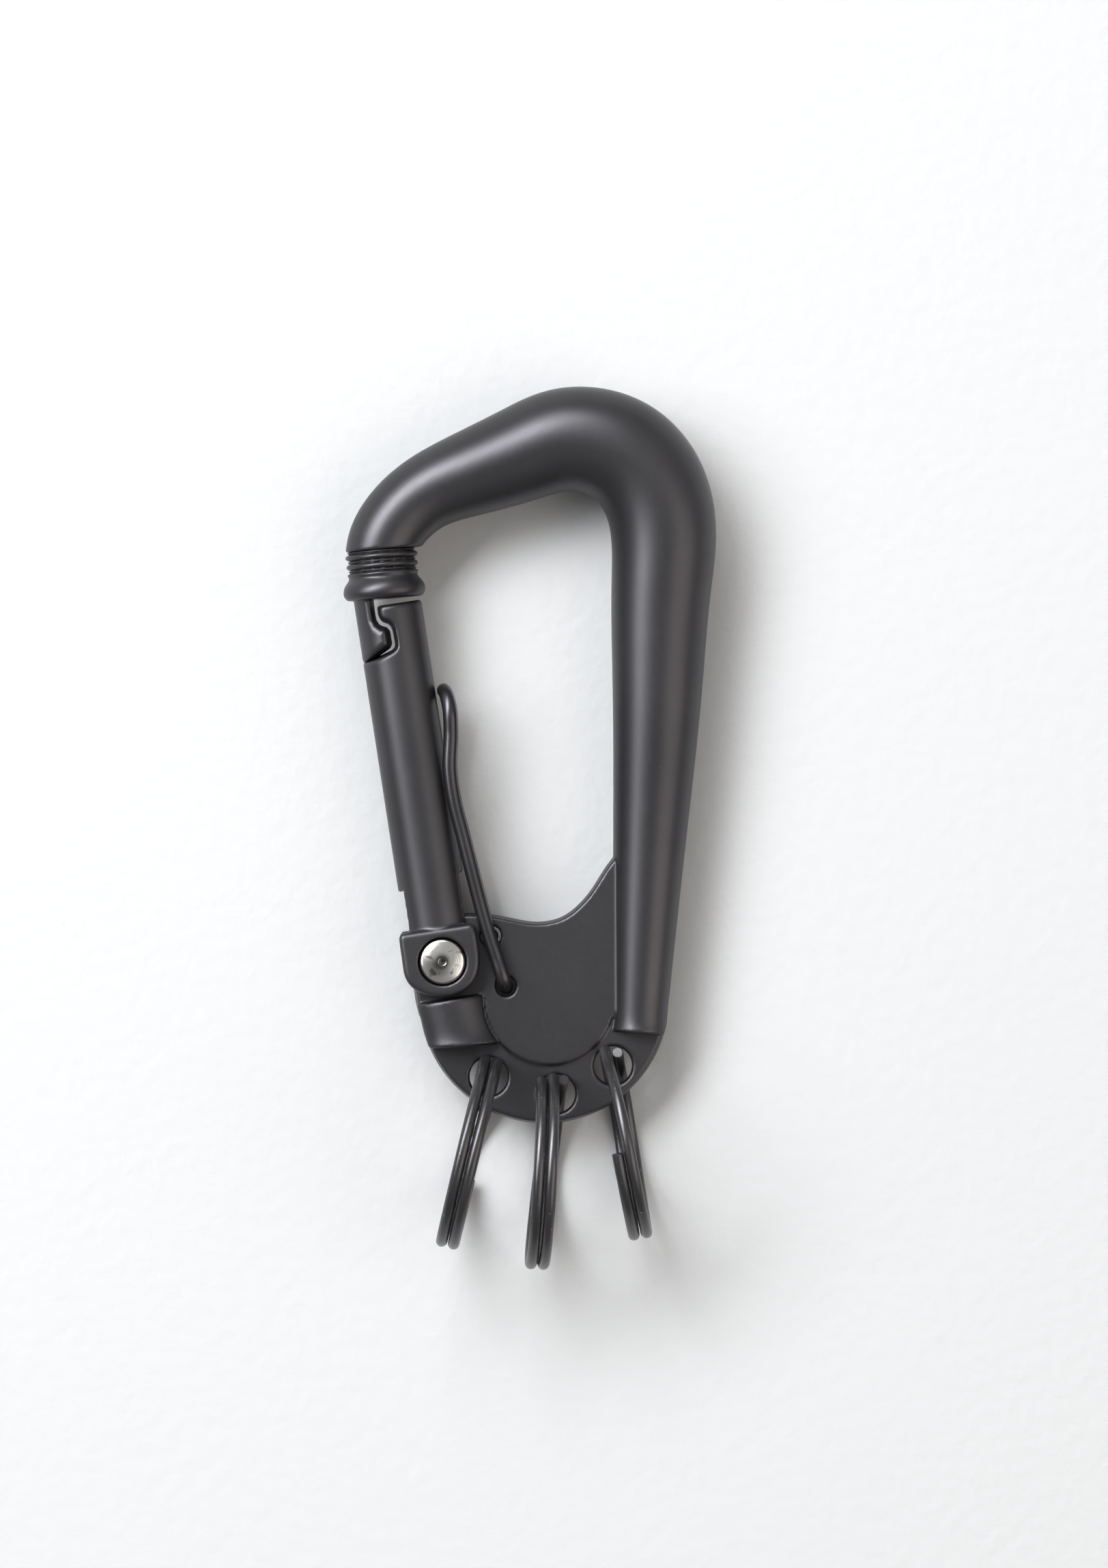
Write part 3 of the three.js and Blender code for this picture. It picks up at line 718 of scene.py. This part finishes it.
board = bpy.data.meshes.new("paper_board")
half = 3.0
board_corners = [(-half, -half, 0), (half, -half, 0), (half, half, 0), (-half, half, 0)]
board.from_pydata(board_corners, [], [(0, 1, 2, 3)])
board_obj = bpy.data.objects.new("paper_board", board)
board_obj.location.z = -0.00005
bpy.context.scene.collection.objects.link(board_obj)
paper = bpy.data.materials.new("paper")
paper.use_nodes = True
paper_tree = paper.node_tree
paper_shader = paper_tree.nodes["Principled BSDF"]
paper_shader.inputs["Base Color"].default_value = (0.52, 0.52, 0.52, 1)
paper_shader.inputs["Roughness"].default_value = 0.9
paper_place = paper_tree.nodes.new("ShaderNodeTexCoord").outputs["Object"]
fibre = node(paper_tree, "ShaderNodeTexNoise", Vector=paper_place, Scale=450.0, Detail=4.0)
tooth = node(paper_tree, "ShaderNodeBump", Height=fibre.outputs["Fac"], Strength=0.35, Distance=0.0004)
paper_tree.links.new(tooth.outputs["Normal"], paper_shader.inputs["Normal"])
board.materials.append(paper)

world = bpy.data.worlds.new("studio")
bpy.context.scene.world = world
world.use_nodes = True
sky = world.node_tree
look = sky.nodes.new("ShaderNodeTexCoord").outputs["Generated"]
toward = node(sky, "ShaderNodeVectorMath")
toward.operation = "DOT_PRODUCT"
sky.links.new(look, toward.inputs[0])
toward.inputs[1].default_value = Vector((0.35, 0.3, 0.9)).normalized()
glow = node(sky, "ShaderNodeMapRange", Value=toward.outputs["Value"])
glow.inputs["From Min"].default_value, glow.inputs["From Max"].default_value = 0.0, 1.0
glow.inputs["To Min"].default_value, glow.inputs["To Max"].default_value = 0.26, 0.52
overhead = node(sky, "ShaderNodeVectorMath")
overhead.operation = "DOT_PRODUCT"
sky.links.new(look, overhead.inputs[0])
overhead.inputs[1].default_value = Vector((-0.13, -0.17, 1)).normalized()
shade = node(sky, "ShaderNodeMapRange", Value=overhead.outputs["Value"])
shade.inputs["From Min"].default_value, shade.inputs["From Max"].default_value = 0.955, 0.985
shade.inputs["To Min"].default_value, shade.inputs["To Max"].default_value = 1.0, 0.12
both = node(sky, "ShaderNodeMath")
both.operation = "MULTIPLY"
sky.links.new(glow.outputs["Result"], both.inputs[0])
sky.links.new(shade.outputs["Result"], both.inputs[1])
sky.links.new(both.outputs["Value"], sky.nodes["Background"].inputs["Strength"])
sky.nodes["Background"].inputs["Color"].default_value = (1, 1, 1, 1)


def soft_light(name, place, aim, size, power, colour):
    lamp = bpy.data.lights.new(name, "AREA")
    lamp.shape, lamp.size, lamp.size_y, lamp.energy = "RECTANGLE", size[0], size[1], power
    lamp.color = colour
    obj = bpy.data.objects.new(name, lamp)
    obj.location = place
    obj.rotation_euler = (Vector(aim) - Vector(place)).to_track_quat("-Z", "Y").to_euler()
    bpy.context.scene.collection.objects.link(obj)


soft_light("window_left", (-0.55, 0.5, 0.8), (0, 0, 0), (1.6, 0.45), 18, (0.94, 0.97, 1.0))
soft_light("lamp_left", (-0.5, 0.45, 0.76), (0, 0, 0), (0.6, 0.35), 7, (0.95, 0.97, 1.0))
soft_light("card_right", (0.75, -0.25, 0.75), (0, 0, 0), (0.9, 0.9), 4.2, (1.0, 0.92, 0.84))

CAMERA_HEIGHT, FRAME_TALL = 0.9, 0.2208
camera_data = bpy.data.cameras.new("camera")
camera_data.sensor_width = 36
camera_data.lens = 36 * CAMERA_HEIGHT / FRAME_TALL
camera = bpy.data.objects.new("camera", camera_data)
camera.location = (0.00337, 0.00589, CAMERA_HEIGHT + 0.0077)
bpy.context.scene.collection.objects.link(camera)
bpy.context.scene.camera = camera
bpy.context.scene.view_settings.view_transform = "Standard"
